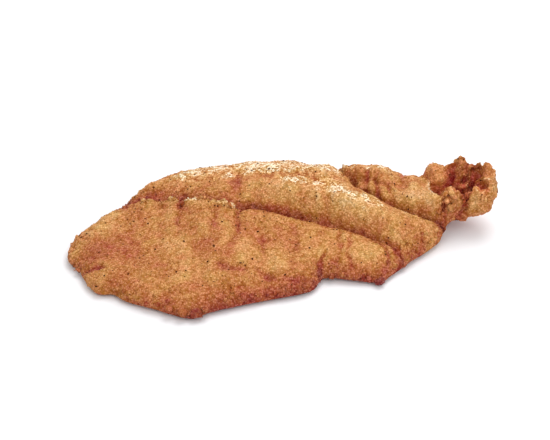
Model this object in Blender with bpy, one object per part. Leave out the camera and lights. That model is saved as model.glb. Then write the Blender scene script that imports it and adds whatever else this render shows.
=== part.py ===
"""A fried fish fillet, one piece, lying flat with its tail end curled up into a cup.

The fillet runs along X with the head end at -X and the tail at +X.  It is a UV sphere laid along X whose
parallels become ribs from the front edge (-Y) to the back edge (+Y): the upper part of each rib follows
the top of the fillet and the lower part its flat underside.  The top is a height worked out at every
point of the plan from four forms that meet along three lines:

    sheet   the thin belly flap in front, which ends in a raised lip over the loin
    loin    the thick muscle behind the seam
    lobe    the back flap near the tail, behind the furrow
    tail    the curled end, a hollow with a lobed rim

Plan and height figures are millimetres; the finished form is fitted to the driving dimensions.
"""
import bmesh
import bpy
import numpy as np

NAME = "fish_fillet"

# Driving dimensions, in metres: the box of the finished fillet
LENGTH = 0.228
WIDTH = 0.116
HEIGHT = 0.035

# Ribs from head to tail, points round each rib, how many of those are on the top, and the triangles that
# are kept, closest together along the folds
RIBS = 220
AROUND = 180
TOP_STEPS = 130
TRIANGLES = 9600

# Above 1, a rib's front end follows behind its back end, which fans the ribs out round the blunt head
FRONT_LAG = 1.35

# Plan of the outline (x, y), from the head tip to the tail tip
HEAD_TIP = (-112, -2)
TAIL_TIP = (113, -3)
BACK_EDGE = [(-114, 6), (-110, 17), (-97, 30), (-82, 37), (-71, 45), (-58, 53), (-36, 57), (-8, 55), (16, 49),
             (31, 41), (46, 44), (60, 39), (72, 28), (85, 20), (101, 13), (110, 6)]
FRONT_EDGE = [(-107, -9), (-106, -18), (-103, -28), (-96, -30), (-90, -37), (-76, -47), (-61, -58),
              (-50, -55), (-24, -52), (-4, -51), (8, -43), (20, -43), (37, -48), (46, -43), (58, -34),
              (71, -26), (79, -20), (85, -11), (92, -9), (99, -13), (106, -14), (111, -9)]

# The seam runs under the sheet's lip and on as a groove; the furrow parts the lobe from the loin
SEAM = [(-120, 44), (-92, 38), (-77, 32), (-66, 27), (-55, 25), (-47, 21), (-38, 17), (-27, 11), (-4, 3),
        (8, -6), (32, -23), (60, -50)]
FURROW = [(24, 70), (33, 42), (37, 25), (44, 12), (52, 0), (59, -11), (68, -18), (79, -22), (120, -40)]

# Smooth lines just inside the two edges, between which the heights are shared out
FRONT_LINE = [(-122, -5), (-95, -37), (-60, -54), (-20, -53), (40, -45), (60, -33), (80, -22), (120, -20)]
BACK_LINE = [(-122, 4), (-104, 25), (-75, 43), (-40, 56), (-5, 54), (25, 46), (60, 38), (80, 24), (120, 0)]

# Heights (x, z) along the form's crests and valleys
EDGE_Z = 10.5
LIP_Z = [(-116, 12), (-78, 20), (-66, 24), (-49, 28.5), (-38, 28), (-28, 25), (-16, 20), (20, 16), (60, 10)]
VALLEY_Z = [(-110, 12), (-78, 15), (-50, 18), (-20, 17), (20, 13.5), (60, 8.5)]
LOIN_Z = [(-112, 13), (-78, 21), (-58, 23.5), (-30, 26), (20, 29), (36, 27), (55, 21), (84, 11)]
LOBE_Z = [(28, 24), (38, 26), (50, 27), (64, 25), (84, 24)]
FURROW_Z = [(28, 15), (46, 19), (64, 15), (84, 11)]
FURROW_SPREAD = 9

# The lip gives way to the groove over this stretch of X; above 1 the sheet's arch is fuller
GROOVE_START = -22
GROOVE_RUN = 14
GROOVE_WIDTH = 3.5
SHEET_ARCH = 1.25

# Width of the turn where two forms meet
JOIN = 0.7

# How far in from its sides each rounded back reaches its full height
LOIN_SHOULDER = 21
FURROW_SHOULDER = 12
LOBE_SHOULDER = 9

# Cross folds (depth, width, points): grooves left where the flakes of the muscle meet
FOLDS = [
    (1.9, 2.8, [(-47, 24), (-51, 8), (-58, -10)]),
    (1.9, 2.6, [(-25, 7), (-30, -14), (-32, -34)]),
    (1.3, 3.0, [(-4, 2), (-15, -25), (-19, -50)]),
    (1.6, 2.6, [(20, -13), (14, -30), (10, -42)]),
    (1.6, 2.6, [(30, -21), (25, -32), (28, -46)]),
    (1.1, 3.0, [(-112, -8), (-104, -13), (-94, -19)]),
    (1.8, 2.8, [(-24, -31), (-8, -38), (8, -43)]),
    (1.9, 3.0, [(51, 42), (48, 20), (45, 10)]),
    (1.9, 3.0, [(60, 36), (56, 12), (53, -2)]),
    (1.8, 3.0, [(-16, 50), (-22, 32), (-24, 14)]),
]

# The cup of the tail starts at a bowed line; its wall is full as far as WALL_TOP from the edge and ends at
# WALL_FOOT; its rim is a level with lobes (angle in degrees, height, spread)
CUP_MIDDLE = (96, 1)
CUP_START = 83.5
CUP_BOW = 0.012
CUP_FLOOR_Z = 15
WALL_TOP = 4
WALL_FOOT = 10.5
RIM_Z = 30
RIM_LOBES = [(88, 8.5, 38), (20, 4, 28), (-55, -1.5, 25), (-106, -10, 9), (-135, -1, 16), (178, -4, 18)]

# The underside is flat up to LIFT_START, then rises in a short step and a long slope (rise, run)
LIFT_START = 79
LIFT_STEP = (3, 6)
LIFT_SLOPE = (9, 36)

# The rim's widest line, as a share of the thickness, and its rounding above and below that line:
# the radius as a share of the thickness, its least and its most
WIDEST = 0.32
UPPER_ROUND = (0.75, 4, 10)
LOWER_ROUND = (0.5, 4, 8)

CRUST_COLOUR = (0.51, 0.205, 0.083, 1.0)
CRUST_ROUGHNESS = 0.72


def smooth_curve(points, count=300):
    """A Catmull-Rom curve through the points, as `count` points evenly spaced along it."""
    p = np.array(points, float)
    p = np.vstack([2 * p[0] - p[1], p, 2 * p[-1] - p[-2]])
    t = np.linspace(0, len(points) - 1.000001, 40 * len(points))
    i = t.astype(int)
    f = (t - i)[:, None]
    a, b, c, d = p[i], p[i + 1], p[i + 2], p[i + 3]
    curve = b + 0.5 * f * (c - a + f * (2 * a - 5 * b + 4 * c - d + f * (3 * (b - c) + d - a)))
    run = np.concatenate([[0], np.cumsum(np.linalg.norm(np.diff(curve, axis=0), axis=1))])
    stops = np.linspace(0, run[-1], count)
    return np.stack([np.interp(stops, run, curve[:, k]) for k in (0, 1)], axis=1)


def reading(points, x):
    """The smooth curve through the points, read as a value at x."""
    curve = smooth_curve(points)
    return np.interp(x, curve[:, 0], curve[:, 1])


def nearest(curve, x, y):
    """How far along the curve its nearest point is (0 to 1), and the distance, positive to its left."""
    place = np.stack([np.ravel(x), np.ravel(y)], axis=1)
    index = np.concatenate([((part[:, None] - curve) ** 2).sum(2).argmin(1)
                            for part in np.array_split(place, 1 + len(place) // 20000)])
    tangent = np.gradient(curve, axis=0)[index]
    offset = place - curve[index]
    distance = np.linalg.norm(offset, axis=1)
    for neighbour in (index - 1, index + 1):
        span = curve[np.clip(neighbour, 0, len(curve) - 1)] - curve[index]
        share = (offset * span).sum(1) / np.maximum((span ** 2).sum(1), 1e-9)
        distance = np.minimum(distance, np.linalg.norm(offset - np.clip(share, 0, 1)[:, None] * span, axis=1))
    side = np.sign(tangent[:, 0] * offset[:, 1] - tangent[:, 1] * offset[:, 0])
    return (index / (len(curve) - 1)).reshape(np.shape(x)), (side * distance).reshape(np.shape(x))


def ease(t):
    """0 below 0, 1 above 1, and a smooth step between."""
    t = np.clip(t, 0, 1)
    return t * t * (3 - 2 * t)


def past(line, width):
    """0 short of a line and 1 past it, changing over about 4 widths."""
    return 1 / (1 + np.exp(-np.clip(line / width, -40, 40)))


def shoulder(t):
    """Rises steeply from 0 at 0 and rounds off to 1 at 1."""
    return 1 - (1 - np.clip(t, 0, 1)) ** 3


def quarter_round(t):
    """A quarter circle: upright at 0, level from 1 on."""
    return np.sqrt(1 - (1 - np.clip(t, 0, 1)) ** 2)


def smaller(a, b, soft):
    """The smaller of two values, rounded where they cross."""
    h = np.clip(0.5 + 0.5 * (b - a) / soft, 0, 1)
    return b + (a - b) * h - soft * h * (1 - h)


BACK = smooth_curve([HEAD_TIP] + BACK_EDGE + [TAIL_TIP], 500)
FRONT = smooth_curve([HEAD_TIP] + FRONT_EDGE + [TAIL_TIP], 500)
OUTLINE = np.vstack([BACK, FRONT[::-1]])


def sheet_height(x, y, seam):
    """Rises from the front edge to the lip, or falls off into the groove where there is no lip."""
    front, back = reading(FRONT_LINE, x), reading(SEAM, x)
    share = np.clip((y - front) / (back - front), -0.2, 1)
    lip, valley = reading(LIP_Z, x), reading(VALLEY_Z, x)
    groove = ease((x - GROOVE_START) / GROOVE_RUN)
    height = EDGE_Z + (lip - EDGE_Z) * (1 - (1 - share) ** SHEET_ARCH)
    return height - groove * (lip - valley) * np.exp(-np.abs(seam) / GROOVE_WIDTH)


def base_height(x, y, furrow):
    """The level that the loin and the lobe rise from: the valley, sinking to the back, up at the furrow."""
    front, back = reading(SEAM, x), reading(BACK_LINE, x)
    valley = reading(VALLEY_Z, x)
    level = valley + (EDGE_Z - valley) * np.clip((y - front) / np.maximum(back - front, 4), 0, 1)
    return level + (reading(FURROW_Z, x) - level) * np.exp(-(furrow / FURROW_SPREAD) ** 2)


def loin_height(x, y, seam, furrow, edge):
    """A rounded back between the seam and the back edge or the furrow, whichever is nearer."""
    base = base_height(x, y, furrow)
    behind = smaller(edge / LOIN_SHOULDER, -furrow / FURROW_SHOULDER, 0.2)
    rise = shoulder(seam / LOIN_SHOULDER) * shoulder(behind)
    return base + (reading(LOIN_Z, x) - base) * rise


def lobe_height(x, y, furrow, edge):
    """The back flap, from the furrow to the back edge."""
    base = base_height(x, y, furrow)
    rise = shoulder(furrow / LOBE_SHOULDER) * shoulder(edge / LOBE_SHOULDER)
    return base + (reading(LOBE_Z, x) - base) * rise


def tail_height(x, y, edge):
    """The cup: a wall along the edge, its rim in lobes, round a hollow."""
    angle = np.degrees(np.arctan2(y - CUP_MIDDLE[1], x - CUP_MIDDLE[0]))
    rim = RIM_Z
    for middle, height, spread in RIM_LOBES:
        turn = (angle - middle + 180) % 360 - 180
        rim = rim + height * np.exp(-(turn / spread) ** 2)
    wall = 1 - ease((edge - WALL_TOP) / (WALL_FOOT - WALL_TOP))
    return CUP_FLOOR_Z + (rim - CUP_FLOOR_Z) * wall


def folded(z, x, y):
    """The height less the cross folds."""
    for depth, width, points in FOLDS:
        along, distance = nearest(smooth_curve(points, 60), x, y)
        fade = ease(np.minimum(along, 1 - along) / 0.15 + 0.3)
        z = z - depth * np.exp(-(distance / width) ** 2) * fade
    return z


def top_and_bottom(x, y):
    """The heights of the top, of the underside and of the rim's widest line between them."""
    edge = np.abs(nearest(OUTLINE, x, y)[1])
    seam = nearest(smooth_curve(SEAM), x, y)[1]
    furrow = nearest(smooth_curve(FURROW), x, y)[1]
    top = sheet_height(x, y, seam)
    top = top + (loin_height(x, y, seam, furrow, edge) - top) * past(seam, JOIN)
    top = top + (lobe_height(x, y, furrow, edge) - top) * past(furrow, JOIN)
    top = folded(top, x, y)
    cup = CUP_START - CUP_BOW * (y - CUP_MIDDLE[1]) ** 2
    top = top + (tail_height(x, y, edge) - top) * past(x - cup, JOIN)
    past_start = x - LIFT_START
    bottom = LIFT_STEP[0] * ease(past_start / LIFT_STEP[1]) + LIFT_SLOPE[0] * ease(past_start / LIFT_SLOPE[1])
    thickness = top - bottom
    middle = bottom + WIDEST * thickness
    upper, lower = (np.clip(share * thickness, least, most)
                    for share, least, most in (UPPER_ROUND, LOWER_ROUND))
    top = middle + (top - middle) * quarter_round(edge / upper)
    bottom = middle + (bottom - middle) * quarter_round(edge / lower)
    return top, bottom, middle


def placed(sphere, top_share):
    """The place on the fillet of each point of a unit sphere whose poles are on Z."""
    along = (1 - sphere[:, 2]) / 2
    turn = np.arctan2(sphere[:, 1], sphere[:, 0]) / (2 * np.pi) % 1
    turn = np.where(turn > 0.9999, 0, turn)
    on_top = turn < top_share - 0.0001
    across = (1 - np.cos(np.pi * turn / top_share)) / 2
    across = np.where(on_top, across, (1 + np.cos(np.pi * (turn - top_share) / (1 - top_share))) / 2)
    stops = np.linspace(0, 1, len(BACK))
    x, y = (np.interp(along ** FRONT_LAG, stops, FRONT[:, k]) * (1 - across)
            + np.interp(along, stops, BACK[:, k]) * across for k in (0, 1))
    top, bottom, middle = top_and_bottom(x, y)
    z = np.where(on_top, top, bottom)
    z = np.where((across < 1e-6) | (across > 1 - 1e-6), middle, z)
    return np.stack([x, y, z], axis=1)


def fitted(points):
    """The points scaled to the driving dimensions, centred over the origin and standing on z = 0."""
    low, high = points.min(axis=0), points.max(axis=0)
    middle = np.array([(low[0] + high[0]) / 2, (low[1] + high[1]) / 2, low[2]])
    return (points - middle) * (np.array([LENGTH, WIDTH, HEIGHT]) / (high - low))


def fillet_mesh():
    """A UV sphere moved point by point onto the fillet."""
    bm = bmesh.new()
    bmesh.ops.create_uvsphere(bm, u_segments=AROUND, v_segments=RIBS, radius=1)
    sphere = np.array([v.co for v in bm.verts])
    for vertex, place in zip(bm.verts, fitted(placed(sphere, TOP_STEPS / AROUND))):
        vertex.co = place
    mesh = bpy.data.meshes.new(NAME)
    bm.to_mesh(mesh)
    bm.free()
    mesh.shade_smooth()
    return mesh


def crust_material():
    """Golden-brown fried crust."""
    material = bpy.data.materials.new("crust")
    material.use_nodes = True
    shader = material.node_tree.nodes["Principled BSDF"]
    shader.inputs["Base Color"].default_value = CRUST_COLOUR
    shader.inputs["Roughness"].default_value = CRUST_ROUGHNESS
    shader.inputs["Metallic"].default_value = 0.0
    return material


def thinned(fillet):
    """Thins the mesh to TRIANGLES triangles, taken where the surface is flattest."""
    fine = sum(len(face.vertices) - 2 for face in fillet.data.polygons)
    thin = fillet.modifiers.new("Thin", "DECIMATE")
    thin.ratio = TRIANGLES / fine


def main():
    for old in list(bpy.data.objects):
        bpy.data.objects.remove(old)
    collection = bpy.data.collections.new("Fried fish fillet")
    bpy.context.scene.collection.children.link(collection)
    fillet = bpy.data.objects.new(NAME, fillet_mesh())
    fillet.data.materials.append(crust_material())
    collection.objects.link(fillet)
    thinned(fillet)


main()
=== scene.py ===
# %% [markdown]
# # A fried fish fillet
#
# A whole fillet, floured and deep fried. The fish under the crust gives the large forms: a thin belly flap
# in front, a thick loin behind it, a back flap near the tail, and a tail end that curled up in the hot oil.
# The crust gives everything finer: puffed lumps, granules of flour, crusty beads along the edges and flecks
# of pepper. We make the large forms first and then add the crust size by size, from lumps of a centimetre
# down to grains of half a millimetre, because that is how the eye reads fried food.

# %% Load the frame
from itertools import product
import bpy
import numpy as np
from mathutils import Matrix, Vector


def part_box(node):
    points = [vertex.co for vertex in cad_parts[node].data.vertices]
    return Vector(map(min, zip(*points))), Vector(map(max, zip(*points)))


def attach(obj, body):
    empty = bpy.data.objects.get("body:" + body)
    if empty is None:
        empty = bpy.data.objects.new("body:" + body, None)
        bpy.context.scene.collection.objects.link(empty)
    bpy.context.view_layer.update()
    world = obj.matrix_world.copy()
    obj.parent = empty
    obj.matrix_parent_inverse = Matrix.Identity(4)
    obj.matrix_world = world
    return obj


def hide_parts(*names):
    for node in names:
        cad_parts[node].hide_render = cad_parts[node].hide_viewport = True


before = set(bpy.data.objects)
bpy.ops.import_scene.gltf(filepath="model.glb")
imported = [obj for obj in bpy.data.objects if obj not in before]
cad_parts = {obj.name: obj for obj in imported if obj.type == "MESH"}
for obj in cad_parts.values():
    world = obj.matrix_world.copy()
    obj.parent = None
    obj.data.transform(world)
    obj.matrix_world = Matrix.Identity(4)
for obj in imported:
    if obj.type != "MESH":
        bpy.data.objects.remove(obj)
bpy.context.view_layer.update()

NODE = "fish_fillet"
low, high = (np.array(corner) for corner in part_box(NODE))
MM = 0.001
print("fillet box in millimetres:", np.round((high - low) / MM, 1))

# %% [markdown]
# ## The plan of the fillet
#
# Seen from above, the fillet is an outline crossed by three lines. The seam starts at the back of the head
# end, runs under the raised lip of the belly flap and goes on as a groove to the front edge. The furrow
# parts the small back flap from the loin, and the flap ends over the tail. A few points for each line are
# enough, because a Catmull-Rom spline passes through every point and stays smooth between them. Figures are
# millimetres.

# %% Outline, seam and furrow
HEAD_TIP = (-112, -2)
TAIL_TIP = (113, -3)
BACK_EDGE = [
    (-114, 6), (-109.5, 19), (-97, 28), (-83, 35.5), (-71, 45.5), (-58, 53), (-36, 57), (-8, 55), (16, 50), (31, 41),
    (46, 42), (60, 36), (71, 26), (83, 20), (96, 15), (106, 10.5), (111, 5)]
FRONT_EDGE = [
    (-109.6, -4.5), (-108.7, -10.5), (-107.4, -17), (-105.5, -22.5), (-103.3, -27), (-99.5, -29), (-95, -30),
    (-90, -37), (-76, -47), (-61, -58), (-50, -54.5), (-24, -51), (-8, -49.5), (1, -48), (5, -45.5), (7.4, -41.5),
    (10, -38.6), (15, -39), (21, -41.3), (37, -47), (46, -42), (58, -33), (70, -25), (77, -19.5), (83.2, -12),
    (88, -10), (92, -10), (99, -13), (105.5, -13), (110.5, -7)]
SEAM = [
    (-120, 56), (-95, 44), (-80, 35.5), (-69, 30), (-60, 25), (-55, 23), (-51, 19), (-46, 15), (-41, 13), (-36, 11.5),
    (-30, 10.3), (-24, 10), (-17, 9.2), (-9, 6.5), (1, 2), (10, -3), (19, -8), (26, -13), (33, -18.5), (41, -23.5),
    (47, -30), (53, -40), (60, -52)]
FURROW = [
    (24, 70), (33, 42), (37, 26), (41, 14), (47, 4.5), (53, -0.5), (58, -4), (65, -8), (72, -11), (80, -14),
    (95, -22), (120, -36)]
FLAP_END = [(72, 30), (74.5, 20), (76, 14), (78.2, 5), (78.8, -1), (80.8, -5.5), (81, -10), (84, -13.5), (92, -20)]
# Smooth lines just inside the two edges, between which heights are shared out
FRONT_LINE = [(-122, -5), (-95, -37), (-60, -54), (-20, -53), (40, -45), (60, -33), (80, -22), (120, -20)]
BACK_LINE = [(-122, 4), (-104, 25), (-75, 43), (-40, 56), (-5, 54), (25, 46), (60, 38), (80, 24), (120, 0)]


def smooth_curve(points, count=300):
    """A Catmull-Rom curve through the points, as `count` points evenly spaced along it."""
    p = np.array(points, float)
    p = np.vstack([2 * p[0] - p[1], p, 2 * p[-1] - p[-2]])
    t = np.linspace(0, len(points) - 1.000001, 40 * len(points))
    i = t.astype(int)
    f = (t - i)[:, None]
    a, b, c, d = p[i], p[i + 1], p[i + 2], p[i + 3]
    curve = b + 0.5 * f * (c - a + f * (2 * a - 5 * b + 4 * c - d + f * (3 * (b - c) + d - a)))
    run = np.concatenate([[0], np.cumsum(np.linalg.norm(np.diff(curve, axis=0), axis=1))])
    stops = np.linspace(0, run[-1], count)
    return np.stack([np.interp(stops, run, curve[:, k]) for k in (0, 1)], axis=1)


def reading(points, x):
    """The smooth curve through the points, read as a value at x."""
    curve = smooth_curve(points)
    return np.interp(x, curve[:, 0], curve[:, 1])


back_curve = smooth_curve([HEAD_TIP] + BACK_EDGE + [TAIL_TIP], 500)
front_curve = smooth_curve([HEAD_TIP] + FRONT_EDGE + [TAIL_TIP], 500)
outline = np.vstack([back_curve, front_curve[::-1]])
print("outline length in millimetres:", round(np.linalg.norm(np.diff(outline, axis=0), axis=1).sum()))

# %% [markdown]
# ## Distance to a line
#
# Most of the shape depends on how far a point is from one of these lines: a rim is rounded by its distance
# to the outline, a groove is as deep as its distance to the seam says. One function gives the signed
# distance for a whole array of points at once. It finds the nearest sample of the curve, then measures to
# the two short straight pieces on either side of that sample, so that the answer has no steps in it.

# %% Signed distance to a curve
CHUNK = 4000


def nearest(curve, x, y):
    """How far along the curve its nearest point is (0 to 1), and the distance, positive to its left."""
    place = np.stack([np.ravel(x), np.ravel(y)], axis=1)
    index = np.concatenate([((part[:, :1] - curve[:, 0]) ** 2 + (part[:, 1:] - curve[:, 1]) ** 2).argmin(1)
                            for part in np.array_split(place, 1 + len(place) // CHUNK)])
    tangent = np.gradient(curve, axis=0)[index]
    offset = place - curve[index]
    distance = np.linalg.norm(offset, axis=1)
    for neighbour in (index - 1, index + 1):
        span = curve[np.clip(neighbour, 0, len(curve) - 1)] - curve[index]
        share = (offset * span).sum(1) / np.maximum((span ** 2).sum(1), 1e-9)
        distance = np.minimum(distance, np.linalg.norm(offset - np.clip(share, 0, 1)[:, None] * span, axis=1))
    side = np.sign(tangent[:, 0] * offset[:, 1] - tangent[:, 1] * offset[:, 0])
    return (index / (len(curve) - 1)).reshape(np.shape(x)), (side * distance).reshape(np.shape(x))


print("distance from the origin to the seam:", round(float(nearest(smooth_curve(SEAM), [0.0], [0.0])[1][0]), 1))

# %% [markdown]
# ## The four forms
#
# The top of the fillet is a height for each point of the plan. Each form has its own simple rule, written
# with a few building blocks, such as a smooth step, a bell and a shoulder that rises fast and rounds off.
# Sculpting by hand would give the same forms, but rules keep every size readable, and rules of the same kind
# shape the plain solid that this dressed model stands for.

# %% Building blocks
def ease(t):
    """0 below 0, 1 above 1, and a smooth step between."""
    t = np.clip(t, 0, 1)
    return t * t * (3 - 2 * t)


def step(value, start, end):
    """0 up to the start, 1 from the end on, and a smooth step between."""
    return ease((value - start) / (end - start))


def bell(t):
    """1 at 0, falling off on both sides to nothing at about 2: exp of minus t squared."""
    return np.exp(-t ** 2)


def past(line, width):
    """0 short of a line and 1 past it, changing over about 4 widths."""
    return 1 / (1 + np.exp(-np.clip(line / width, -40, 40)))


def shoulder(t):
    """Rises steeply from 0 at 0 and rounds off to 1 at 1."""
    return 1 - (1 - np.clip(t, 0, 1)) ** 3


def quarter_round(t):
    """A quarter circle: upright at 0, level from 1 on."""
    return np.sqrt(1 - (1 - np.clip(t, 0, 1)) ** 2)


def smaller(a, b, soft):
    """The smaller of two values, rounded where they cross."""
    h = np.clip(0.5 + 0.5 * (b - a) / soft, 0, 1)
    return b + (a - b) * h - soft * h * (1 - h)


print("the middle of a smooth step:", step(5, 0, 10))


# %% Heights of the sheet, the loin and the lobe
SHEET_EDGE_Z, BACK_EDGE_Z = 8.0, 10.5
# Heights by x: the lip, the valley behind it, the crests of the loin and the lobe, and the furrow
LIP_Z = [
    (-116, 12), (-95, 16.5), (-86, 17), (-80, 16), (-69, 17.5), (-60, 20), (-55, 21.5), (-51, 21.5), (-46, 24),
    (-38, 24.6), (-31, 22.6), (-25, 20), (-18, 18.5), (20, 16), (60, 10)]
VALLEY_Z = [(-110, 12), (-78, 15), (-50, 18), (-20, 17), (20, 14.5), (60, 8.5)]
LOIN_Z = [
    (-112, 13), (-80, 24), (-70, 23.2), (-58, 22.6), (-45, 24.6), (-30, 26), (18, 28.5), (36, 26), (55, 20.5),
    (84, 11)]
LOBE_Z = [(28, 22), (38, 22.8), (50, 23.4), (60, 23), (70, 22.5), (84, 22)]
FURROW_Z = [(28, 22), (40, 21), (62, 14.5), (84, 9)]
FURROW_SPREAD = 9
# The lip gives way to the groove over this stretch of x; above 1 the sheet's arch is fuller
GROOVE_FROM, GROOVE_WIDTH, SHEET_ARCH = (-24, -10), 3.0, 1.25
# How far in from its sides each rounded back reaches its height, the loin's back side by x
SEAM_SHOULDER, FURROW_SHOULDER, SHOULDER_BLEND = 16, 10, 0.2
LOIN_SHOULDER = [(-90, 8), (-70, 12), (-50, 20), (-30, 25), (80, 25)]
LOBE_FRONT, LOBE_BACK = 6.5, 8


def sheet_height(x, y, seam):
    """Rises from the front edge to the lip, or falls off into the groove where there is no lip."""
    front, back = reading(FRONT_LINE, x), reading(SEAM, x)
    share = np.clip((y - front) / (back - front), -0.2, 1)
    lip, valley = reading(LIP_Z, x), reading(VALLEY_Z, x)
    groove = step(x, *GROOVE_FROM)
    height = SHEET_EDGE_Z + (lip - SHEET_EDGE_Z) * (1 - (1 - share) ** SHEET_ARCH)
    return height - groove * (lip - valley) * np.exp(-np.abs(seam) / GROOVE_WIDTH)


def base_height(x, y, furrow):
    """The level that the loin and the lobe rise from: the valley, sinking to the back, up at the furrow."""
    front, back = reading(SEAM, x), reading(BACK_LINE, x)
    valley = reading(VALLEY_Z, x)
    level = valley + (BACK_EDGE_Z - valley) * np.clip((y - front) / np.maximum(back - front, 4), 0, 1)
    return level + (reading(FURROW_Z, x) - level) * bell(furrow / FURROW_SPREAD)


def loin_height(x, y, seam, furrow, edge):
    """A rounded back between the seam and the back edge or the furrow, whichever is nearer."""
    base = base_height(x, y, furrow)
    behind = smaller(edge / reading(LOIN_SHOULDER, x), -furrow / FURROW_SHOULDER, SHOULDER_BLEND)
    rise = shoulder(seam / SEAM_SHOULDER) * shoulder(behind)
    return base + (reading(LOIN_Z, x) - base) * rise


def lobe_height(x, y, furrow, edge):
    """The back flap, from the furrow to the back edge."""
    base = base_height(x, y, furrow)
    rise = shoulder(furrow / LOBE_FRONT) * shoulder(edge / LOBE_BACK)
    return base + (reading(LOBE_Z, x) - base) * rise


print("highest point of the loin:", max(z for _, z in LOIN_Z), "mm")

# %% [markdown]
# ## The curled tail
#
# Hot oil shrinks the thin tail end faster on one side, so it curls up into a cup. The cup is a wall that
# follows the outline round a hollow, and its rim has a height for each direction of the compass. Knobs are
# the rounded lumps where batter puffed up, on the tail and on the back flap.

# %% Height of the tail
CUP_MIDDLE = (96, 1)
CUP_FLOOR_Z = 17
WALL_TOP, WALL_FOOT = 1.2, 10
# The right side of the wall is thicker: direction, extra thickness and spread
THICK_SIDE = (-10, 3.5, 34)
# Height of the rim by its direction from the middle, in degrees
RIM = [
    (-185, 18), (-150, 14), (-133, 14), (-118, 15), (-104, 16), (-93, 18), (-85, 21), (-75, 24.5), (-60, 23.5),
    (-45, 25), (-30, 28), (-15, 31.5), (0, 33.8), (10, 34.2), (18, 33.6), (24, 31.8), (31, 33.2), (40, 33.2),
    (47, 31.6), (55, 32.8), (66, 32.6), (74, 33.6), (81, 35.4), (87, 36.4), (94, 35.6), (101, 33.6), (107, 32.4),
    (114, 30.5), (121, 26), (130, 20), (150, 19), (176, 18)]
# Knobs: middle in the plan, radius, and height of the top
TAIL_KNOBS = [
    (82.4, 12.6, 7.9, 29.8), (99.3, -9.3, 5.2, 25.6), (103, -8.5, 3.4, 24.6), (86.3, -5.5, 3.6, 25.6),
    (82.6, -5.5, 2.6, 25), (89.8, -6.5, 2.2, 25), (84, -9.5, 2.6, 21), (87.5, -10, 2, 19), (97, 6, 3, 22),
    (103, 2, 3, 22), (106.5, 7, 2.6, 31.5), (101, 9.5, 2.4, 30.5)]
BACK_KNOBS = [
    (33, 19, 5, 26), (37, 27, 5, 27), (43.5, 22, 4.8, 28.6), (50, 19, 4.6, 28), (55.5, 14, 4.4, 26.8),
    (38.5, 12, 3.6, 24.5), (47, 9.5, 4, 25)]
KNOB_BLEND, TAIL_BLEND = 0.7, 2.0
# A knob's drop to its rim and the slope past it, in radii, and the height of no knob
KNOB_DROP, KNOB_SIDE, NO_KNOB = 0.9, 12, -50.0


def knob_height(x, y, knobs):
    """The tops of a set of knobs: each is a dome that drops away steeply past its radius."""
    height = np.full(np.shape(x), NO_KNOB)
    for middle_x, middle_y, radius, top in knobs:
        out = np.hypot(x - middle_x, y - middle_y) / radius
        dome = top - KNOB_DROP * radius * (1 - np.sqrt(np.clip(1 - out ** 2, 0, 1)))
        height = np.maximum(height, dome - KNOB_SIDE * radius * np.clip(out - 1, 0, 1))
    return height


def tail_height(x, y, edge):
    """The cup: a wall along the edge, up to the rim's height, round a hollow with knobs in it."""
    angle = np.degrees(np.arctan2(y - CUP_MIDDLE[1], x - CUP_MIDDLE[0]))
    side, extra, spread = THICK_SIDE
    thicker = extra * bell((angle - side) / spread)
    rim = reading(RIM, angle)
    wall = 1 - ease((edge - WALL_TOP - thicker) / (WALL_FOOT - WALL_TOP))
    cup = CUP_FLOOR_Z + (rim - CUP_FLOOR_Z) * wall
    return -smaller(-cup, -knob_height(x, y, TAIL_KNOBS), TAIL_BLEND)


print("heights round the rim:", len(RIM), "knobs:", len(TAIL_KNOBS) + len(BACK_KNOBS))

# %% [markdown]
# ## Folds between the flakes
#
# Fish muscle lies in flakes, and where two of them meet, the crust sinks into a fold. Each fold is a short
# curve with a depth and a width, and fades out at both ends. The seam and the furrow would look ruled if
# they kept their smooth lines, so the plan is first pushed about by a slow noise: the lines then wander as
# the real ones do, while the outline stays where it is.

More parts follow.
